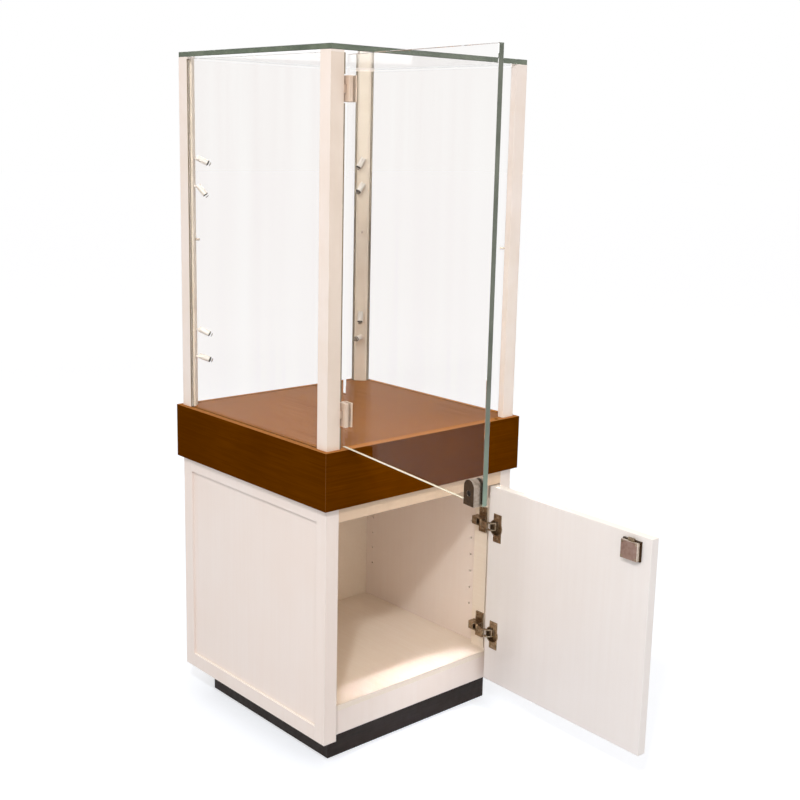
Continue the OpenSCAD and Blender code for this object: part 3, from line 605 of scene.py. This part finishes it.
def door_lock_screws(finish):
    """Four screws in the corners of the cupboard door's lock case."""
    swing = swing_open("cupboard_door_swing")
    low, high = closed_box("door_lock_body", "cupboard_door_swing")
    middle = (low + high) / 2
    places = []
    for side in (-1, 1):
        for up in (-1, 1):
            place = Vector((middle.x + side * DOOR_LOCK_SCREW_X, high.y,
                            middle.z + up * DOOR_LOCK_SCREW_Z))
            places.append(swing @ at(place, (0, 1, 0)))
    put_screws(CLAMP_SCREW, finish, "door_lock_screw", places, "cupboard_door")


# Frame round the cupboard door's lock case: width, height, play at the case, how deep it sits in
# the door, and the easing of its edges
LOCK_FRAME_W = 1.0 * MM
LOCK_FRAME_T = 5.5 * MM
LOCK_FRAME_PLAY = 0.3 * MM
LOCK_FRAME_SINK = 0.05 * MM
LOCK_FRAME_EASE = 0.3 * MM


def box_between(low, high):
    """Adds a box between two corners."""
    clear_selection()
    bpy.ops.mesh.primitive_cube_add(size=1, location=(low + high) / 2, scale=high - low)
    box = bpy.context.object
    bpy.ops.object.transform_apply(location=True, rotation=True, scale=True)
    return box


def door_lock_frame(finish):
    """A dark frame on the cupboard door round the foot of its lock case."""
    low, high = closed_box("door_lock_body", "cupboard_door_swing")
    door_high = closed_box("cupboard_door", "cupboard_door_swing")[1]
    play = Vector((LOCK_FRAME_PLAY, 0, LOCK_FRAME_PLAY))
    rim = Vector((LOCK_FRAME_W, 0, LOCK_FRAME_W))
    foot = door_high.y - LOCK_FRAME_SINK
    case_low = Vector((low.x, foot, low.z)) - play
    case_high = Vector((high.x, foot + LOCK_FRAME_T, high.z)) + play
    ring = box_between(case_low - rim, case_high + rim)
    cutter = box_between(case_low - Vector((0, MM, 0)), case_high + Vector((0, MM, 0)))
    apply_modifier(ring, "BOOLEAN", object=cutter, operation="DIFFERENCE", solver="EXACT")
    bpy.data.objects.remove(cutter)
    ease_edges(ring, LOCK_FRAME_EASE)
    smooth(ring)
    ring.data.materials.append(finish)
    swing = swing_open("cupboard_door_swing")
    put_copy(ring, "door_lock_frame", swing, "cupboard_door")
    bpy.data.objects.remove(ring)


# Glass hinges: the screws of the leaf and of the clamp, up and down from the hinge's middle
GLASS_HINGE_H = 46 * MM
LEAF_SCREW_OFF = 15 * MM
LEAF_SCREW_BACK = 5.7 * MM
CLAMP_SCREW_OFF = 13 * MM


def glass_hinge_screws(finish):
    """Screws of the glass hinges: two in each leaf and two in each clamp's inner jaw."""
    swing = swing_open("glass_door_swing")
    leaf_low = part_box("glass_hinge_leaves")[0]
    post_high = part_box("glass_post_front_left")[1]
    low, high = closed_box("glass_hinge_clamps", "glass_door_swing")
    leaves = []
    clamps = []
    for height in (low.z + GLASS_HINGE_H / 2, high.z - GLASS_HINGE_H / 2):
        for side in (-1, 1):
            leaves.append(at(Vector((post_high.x, leaf_low.y + LEAF_SCREW_BACK,
                                     height + side * LEAF_SCREW_OFF)), (1, 0, 0)))
            clamps.append(swing @ at(Vector(((low.x + high.x) / 2, high.y,
                                             height + side * CLAMP_SCREW_OFF)), (0, 1, 0)))
    put_screws(LEAF_SCREW, finish, "glass_hinge_leaf_screw", leaves, "root")
    put_screws(CLAMP_SCREW, finish, "glass_hinge_clamp_screw", clamps, "glass_door")


# Glass door lock: heights of the plate's screws above its bottom edge
LOCK_PLATE_SCREWS = (8 * MM, 32 * MM)


def glass_lock_screws(finish):
    """Two screws in the plate behind the glass that hold the lock."""
    swing = swing_open("glass_door_swing")
    low, high = closed_box("glass_lock_plate", "glass_door_swing")
    places = [swing @ at(Vector(((low.x + high.x) / 2, high.y, low.z + up)), (0, 1, 0))
              for up in LOCK_PLATE_SCREWS]
    put_screws(CLAMP_SCREW, finish, "glass_lock_screw", places, "glass_door")


# Points this near to a lamp head's furthest one lie on the rim of its mouth
RIM_PLAY = 0.05 * MM
LAMP_HEADS = [f"lamp_head_{side}_{number}" for side in ("left", "right") for number in range(1, 5)]


def lamp_axis(head):
    """Middle of a lamp head's mouth and the direction it points along."""
    pivot = Vector(joint(head.replace("lamp_head", "lamp") + "_tilt")["pos_m"])
    points = [v.co for v in frame["nodes"][head].data.vertices]
    reach = max((p - pivot).length for p in points)
    rim = [p for p in points if (p - pivot).length > reach - RIM_PLAY]
    tip = sum(rim, Vector()) / len(rim)
    return tip, (tip - pivot).normalized()


# Lamp lens: radius of its rim, its bulge, its seat below the tip of the lamp, and its facets
LENS_RADIUS = 4.7 * MM
LENS_BULGE = 1.4 * MM
LENS_SEAT = 2 * MM
LENS_FACETS = 48


def lamp_lenses(finish):
    """A bulging lens in the mouth of each lamp head."""
    ball = (LENS_RADIUS**2 + LENS_BULGE**2) / (2 * LENS_BULGE)
    clear_selection()
    bpy.ops.mesh.primitive_uv_sphere_add(segments=LENS_FACETS, ring_count=LENS_FACETS, radius=ball,
                                         location=(0, 0, LENS_BULGE - ball))
    lens = bpy.context.object
    bpy.ops.object.mode_set(mode="EDIT")
    bpy.ops.mesh.select_all(action="SELECT")
    bpy.ops.mesh.bisect(plane_co=(0, 0, 0), plane_no=(0, 0, 1), clear_inner=True, use_fill=True)
    bpy.ops.mesh.select_all(action="SELECT")
    bpy.ops.mesh.normals_make_consistent(inside=False)
    bpy.ops.object.mode_set(mode="OBJECT")
    smooth(lens)
    lens.data.materials.append(finish)
    for head in LAMP_HEADS:
        tip, along = lamp_axis(head)
        put_copy(lens, head.replace("head", "lens"), at(tip - LENS_SEAT * along, along), head)
    bpy.data.objects.remove(lens)


# Bezel at the mouth of a lamp head: outer and inner radius, how far it stands out, and its lip
BEZEL_OUTER = 5.9 * MM
BEZEL_INNER = 4.4 * MM
BEZEL_DEPTH = 2.2 * MM
BEZEL_LIP = 0.35 * MM


def lamp_bezels(finish):
    """A turned ring round the mouth of each lamp head, with a rounded lip."""
    clear_selection()
    bpy.ops.mesh.primitive_cylinder_add(vertices=LENS_FACETS, radius=BEZEL_OUTER, depth=BEZEL_DEPTH,
                                        location=(0, 0, BEZEL_DEPTH / 2))
    ring = bpy.context.object
    select_faces(ring, lambda normal: abs(normal.z) > ALONG)
    bpy.ops.mesh.inset(thickness=BEZEL_OUTER - BEZEL_INNER)
    bpy.ops.mesh.bridge_edge_loops()
    bpy.ops.object.mode_set(mode="OBJECT")
    ease_edges(ring, BEZEL_LIP)
    smooth(ring)
    ring.data.materials.append(finish)
    for head in LAMP_HEADS:
        tip, along = lamp_axis(head)
        put_copy(ring, head.replace("head", "bezel"), at(tip, along), head)
    bpy.data.objects.remove(ring)


# Glazing seal: its side, its gap to the pane and the post, and its rounding
SEAL_SIDE = 1.3 * MM
SEAL_GAP = 0.05 * MM
SEAL_ROUND = 0.7 * SEAL_SIDE
# Turn of the seal's section about Z, in degrees, for the corner it fills
SEAL_TURNS = {(1, 1): 0, (-1, 1): 90, (-1, -1): 180, (1, -1): 270}


def glazing_seals(finish):
    """Rubber beads along the upright edges of the fixed panes, at the posts, on both faces."""
    low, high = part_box("rear_pane")
    seal = box_between(Vector((SEAL_GAP, SEAL_GAP, 0)),
                       Vector((SEAL_SIDE, SEAL_SIDE, high.z - low.z)))
    bpy.ops.object.mode_set(mode="EDIT")
    bpy.ops.mesh.select_mode(type="EDGE")
    bpy.ops.mesh.select_all(action="DESELECT")
    shape = bmesh.from_edit_mesh(seal.data)
    for edge in shape.edges:
        edge.select_set(all(min(v.co.x, v.co.y) > SEAL_SIDE / 2 for v in edge.verts))
    bmesh.update_edit_mesh(seal.data)
    bpy.ops.mesh.bevel(offset=SEAL_ROUND, segments=5)
    bpy.ops.object.mode_set(mode="OBJECT")
    smooth(seal)
    seal.data.materials.append(finish)
    post_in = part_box("glass_post_rear_right")[0].x
    corners = []
    for y, away_y in ((low.y, -1), (high.y, 1)):
        for side in (-1, 1):
            corners.append((Vector((side * post_in, y, low.z)), (-side, away_y)))
    for name in ("left_pane", "right_pane"):
        pane_low, pane_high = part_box(name)
        for x, away_x in ((pane_low.x, -1), (pane_high.x, 1)):
            for side in (-1, 1):
                corners.append((Vector((x, side * post_in, low.z)), (away_x, -side)))
    for count, (place, away) in enumerate(corners, 1):
        turn = Matrix.Rotation(math.radians(SEAL_TURNS[away]), 4, "Z")
        put_copy(seal, f"glazing_seal_{count}", Matrix.Translation(place) @ turn, "root")
    bpy.data.objects.remove(seal)


# Seal on the hinge post of the glass door: how far it stands out and reaches back, its gap to the
# post, its setback from the post's front, its gap to the hinge leaves, and the easing of its edges
POST_SEAL_OUT = 3.2 * MM
POST_SEAL_BACK = 4 * MM
POST_SEAL_GAP = 0.1 * MM
POST_SEAL_FRONT = 0.2 * MM
POST_SEAL_END = 2 * MM
POST_SEAL_EASE = 0.6 * MM


def post_seal(finish):
    """A brown rubber strip down the hinge post, in lengths between the hinge leaves."""
    post_low, post_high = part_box("glass_post_front_left")
    low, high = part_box("glass_hinge_leaves")
    front = post_low.y + POST_SEAL_FRONT
    inside = post_high.x + POST_SEAL_GAP
    spans = ((post_low.z, low.z - POST_SEAL_END),
             (low.z + GLASS_HINGE_H + POST_SEAL_END, high.z - GLASS_HINGE_H - POST_SEAL_END),
             (high.z + POST_SEAL_END, post_high.z))
    for count, (bottom, top) in enumerate(spans, 1):
        strip = box_between(Vector((inside, front, bottom)),
                            Vector((inside + POST_SEAL_OUT, front + POST_SEAL_BACK, top)))
        ease_edges(strip, POST_SEAL_EASE)
        smooth(strip)
        strip.name = f"post_seal_{count}"
        strip.data.materials.append(finish)
        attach(strip, "root")


# Distance from the glass door's axis within which an edge of its pane counts as the hinged one
HINGED_EDGE = 20 * MM
# Finishes of the ground edges and of the foot, of the glass door and of the other panes
DOOR_EDGES = ("door_glass_edge", "pale_glass_edge")
PANE_EDGES = ("glass_edge", "foot_glass_edge")
# CAD nodes with another finish than that of their slot
NODE_FINISHES = {
    "cupboard_door": "door_lacquer",
    # The front top rail is browner as painted shade and painted reflection of the band
    "front_top_rail": "rail_painted_shade_and_reflection",
    # The lock's darker front is partly painted reflection
    "door_lock_body": "taupe_zinc",
    # The plug is dark as painted shade of its keyhole
    "glass_lock_plug": "dark_steel",
    "shelf_pegs": "bright_nickel_and_painted_reflection",
}
# Lock pieces whose darker front and brighter sides are painted reflection, the sides standing in for polished
# metal that mirrors the bright room: their door, the direction in which the faces that keep the slot's finish look
# when it is closed, and the finish of the sides
LOCK_PAINTED_REFLECTIONS = {
    "glass_lock_body": ("glass_door_swing", (0, -1, 0), "nickel_painted_reflection"),
    "glass_lock_plate": ("glass_door_swing", (0, 1, 0), "nickel_painted_reflection"),
    "door_lock_body": ("cupboard_door_swing", (0, 1, 0), "bright_nickel_and_painted_reflection"),
}
# Posts with faces of painted shade: the direction that those faces look in, and their finish
PAINTED_SHADE_FACES = {
    "glass_post_rear_left": ((1, -1, 0), "inner_faces_painted_shade"),
    "glass_post_rear_right": ((-1, -1, 0), "inner_faces_painted_shade"),
    "glass_post_front_left": ((0, -1, 0), "front_face_painted_shade"),
}


def dress_nodes(finishes):
    """Gives every CAD node the finish of its slot, and the panes their ground edges."""
    for part in frame["record"]["subparts"]:
        node = frame["nodes"][part["node"]]
        node.data.materials.clear()
        node.data.materials.append(finishes[NODE_FINISHES.get(part["node"], part["material_slot"])])
        if part["material_slot"] == "clear_glass":
            on_door = part["node"] == "glass_door_pane"
            for finish in DOOR_EDGES if on_door else PANE_EDGES:
                node.data.materials.append(finishes[finish])
            mark_edges(node)
    for name, (hinge, direction, sides) in LOCK_PAINTED_REFLECTIONS.items():
        kept = swing_open(hinge).to_3x3() @ Vector(direction)
        mark_faces(frame["nodes"][name], finishes[sides], lambda normal: normal.dot(kept) < ALONG)
    for name, (direction, finish) in PAINTED_SHADE_FACES.items():
        looks = Vector(direction)
        mark_faces(frame["nodes"][name], finishes[finish],
                   lambda normal: normal.dot(looks) > PARTLY)


def mark_edges(pane):
    """Gives a pane's edges its second material and its foot the third. The hinged edge is clear."""
    broad = max(pane.data.polygons, key=lambda face: face.area).normal.copy()
    hinge = Vector(joint("glass_door_swing")["pos_m"])
    upright = abs(broad.z) < PARTLY
    on_door = pane.name == "glass_door_pane"
    for face in pane.data.polygons:
        foot = upright and face.normal.z < -PARTLY
        if foot or abs(face.normal.dot(broad)) < ACROSS:
            hinged = on_door and (face.center - hinge).xy.length < HINGED_EDGE
            face.material_index = 2 if foot else 0 if hinged else 1


def mark_faces(piece, finish, wanted):
    """Gives the faces whose normal this test accepts a second material."""
    piece.data.materials.append(finish)
    for face in piece.data.polygons:
        if wanted(face.normal):
            face.material_index = 1


FLOOR_SIDE = 60
FLOOR_DROP = 0.2 * MM
# Own glow of the floor near the lamps and far from them, so that it stays as white as the
# background, and the distances in metres between which it changes
GLOW_NEAR = 0.54
GLOW_FAR = 0.625
LAMP_POOL = (1.0, 5.0)


def seen_ray(tree):
    """One for a ray of the camera, direct, in gloss or through glass, and else nothing."""
    rays = add_node(tree, "ShaderNodeLightPath")
    direct = add_node(tree, "ShaderNodeMath", {"operation": "MAXIMUM"},
                      {0: rays.outputs["Is Camera Ray"], 1: rays.outputs["Is Glossy Ray"]})
    seen = add_node(tree, "ShaderNodeMath", {"operation": "MAXIMUM"},
                    {0: direct.outputs["Value"], 1: rays.outputs["Is Transmission Ray"]})
    early = add_node(tree, "ShaderNodeMath", {"operation": "LESS_THAN", 1: 0.5},
                     {0: rays.outputs["Diffuse Depth"]})
    first = add_node(tree, "ShaderNodeMath", {"operation": "MULTIPLY"},
                     {0: seen.outputs["Value"], 1: early.outputs["Value"]})
    return first.outputs["Value"]


def add_floor():
    """A plain pale floor that shows the object's shadow and is else as white as the background."""
    clear_selection()
    bpy.ops.mesh.primitive_plane_add(size=FLOOR_SIDE, location=(0, 0, -FLOOR_DROP))
    floor = bpy.context.object
    floor.name = "floor"
    material, tree, shader, place = new_finish("pale_floor", Base_Color=linear("#c1c9d6"),
                                               Roughness=0.9, Specular_IOR_Level=0.1,
                                               Emission_Color=linear("#ffffff"))
    away = add_node(tree, "ShaderNodeVectorMath", {"operation": "LENGTH"}, {0: place})
    span = dict(zip(RANGE, (*LAMP_POOL, GLOW_NEAR, GLOW_FAR)))
    level = add_node(tree, "ShaderNodeMapRange", span, {"Value": away.outputs["Value"]})
    glow = add_node(tree, "ShaderNodeMath", {"operation": "MULTIPLY"},
                    {0: seen_ray(tree), 1: level.outputs["Result"]})
    tree.links.new(glow.outputs["Value"], shader.inputs["Emission Strength"])
    floor.data.materials.append(material)


WORLD_COLOUR = "#fff4e6"
WORLD_LIGHT = 0.66


def add_world():
    """Soft even light all round, seen as plain white by the camera, in gloss and through glass."""
    world = bpy.data.worlds.new("studio")
    bpy.context.scene.world = world
    world.use_nodes = True
    tree = world.node_tree
    light = tree.nodes["Background"]
    light.inputs["Color"].default_value = linear(WORLD_COLOUR)
    light.inputs["Strength"].default_value = WORLD_LIGHT
    white = add_node(tree, "ShaderNodeBackground", {"Color": (1, 1, 1, 1), "Strength": 1.0})
    mix = add_node(tree, "ShaderNodeMixShader", None, {0: seen_ray(tree),
                                                       1: light.outputs["Background"],
                                                       2: white.outputs["Background"]})
    tree.links.new(mix.outputs["Shader"], tree.nodes["World Output"].inputs["Surface"])


# Lamps: the direction they shine from as azimuth and elevation, their distance and the height that
# they are aimed at, their side in metres and their power in watts
LAMPS = {
    "key_lamp": (-45, 38, 3.4, 0.45, 0.2, 36),
    "left_soft_box": (-82, 34, 3.0, 0.7, 1.4, 16),
    "right_soft_box": (42, 10, 3.0, 0.6, 1.5, 8),
    "back_soft_box": (150, 30, 3.0, 0.7, 1.5, 7),
    "ceiling_box": (20, 78, 3.0, 0.6, 1.5, 12),
}
# A narrow lamp overhead that lights the front of the cupboard's floor: its place and aim, and its
# side, its power and the spread of its beam in degrees
STRIP_PLACE = Vector((0.16, -0.8, 2.9))
STRIP_AIM = Vector((0.03, -0.26, 0.12))
STRIP_LAMP = (0.12, 0.21, 9)
# A soft warm card in the front of the cupboard lights its inside: place, side, power and colour
CARD_PLACE = Vector((0, -0.222, 0.3))
CARD_SIDE = 0.4
CARD_POWER = 0.15
CARD_COLOUR = "#ffe2bd"


def seen_from(azimuth, elevation):
    """Direction to a place that sees the object from this azimuth and elevation, in radians."""
    level = math.cos(elevation)
    return Vector((math.sin(azimuth) * level, -math.cos(azimuth) * level, math.sin(elevation)))


def add_lamp(name, matrix, side, power, beam=180, colour="#ffffff"):
    """Adds a square area lamp that shines against the Z axis of this matrix."""
    data = bpy.data.lights.new(name, "AREA")
    data.size = side
    data.energy = power
    data.spread = math.radians(beam)
    data.color = linear(colour)[:3]
    lamp = bpy.data.objects.new(name, data)
    bpy.context.scene.collection.objects.link(lamp)
    lamp.matrix_world = matrix


def add_lamps():
    """A key lamp over the camera, soft boxes left, right, behind and above, a strip and a card."""
    for name, (azimuth, elevation, distance, aim, side, power) in LAMPS.items():
        away = seen_from(math.radians(azimuth), math.radians(elevation))
        add_lamp(name, at(Vector((0, 0, aim)) + distance * away, away), side, power)
    add_lamp("strip_lamp", at(STRIP_PLACE, STRIP_PLACE - STRIP_AIM), *STRIP_LAMP)
    add_lamp("cupboard_card", at(CARD_PLACE, (0, -1, 0)), CARD_SIDE, CARD_POWER, colour=CARD_COLOUR)


def add_camera():
    """The camera that took the photograph, with its roll and the shift of its view."""
    data = bpy.data.cameras.new("photo_camera")
    data.sensor_width = CAMERA_SENSOR
    data.lens = CAMERA_LENS
    data.shift_x = (PHOTO_SIDE / 2 - VIEW_MIDDLE_X) / PHOTO_SIDE
    data.shift_y = (VIEW_MIDDLE_Y - PHOTO_SIDE / 2) / PHOTO_SIDE
    camera = bpy.data.objects.new("photo_camera", data)
    bpy.context.scene.collection.objects.link(camera)
    bpy.context.scene.camera = camera
    away = seen_from(CAMERA_AZIMUTH, CAMERA_ELEVATION)
    camera.matrix_world = at(CAMERA_PLACE, away) @ Matrix.Rotation(CAMERA_ROLL, 4, "Z")


finishes = make_finishes()
dress_nodes(finishes)
hinge_screws(finishes["nickel"])
door_lock_screws(finishes["nickel"])
glass_hinge_screws(finishes["nickel"])
glass_lock_screws(finishes["lock_bronze"])
door_lock_frame(finishes["lock_bronze"])
lamp_lenses(finishes["lens_glass"])
lamp_bezels(finishes["dark_steel"])
glazing_seals(finishes["seal_rubber"])
post_seal(finishes["seal_rubber"])
add_floor()
add_world()
add_lamps()
add_camera()
bpy.context.scene.view_settings.view_transform = "Standard"
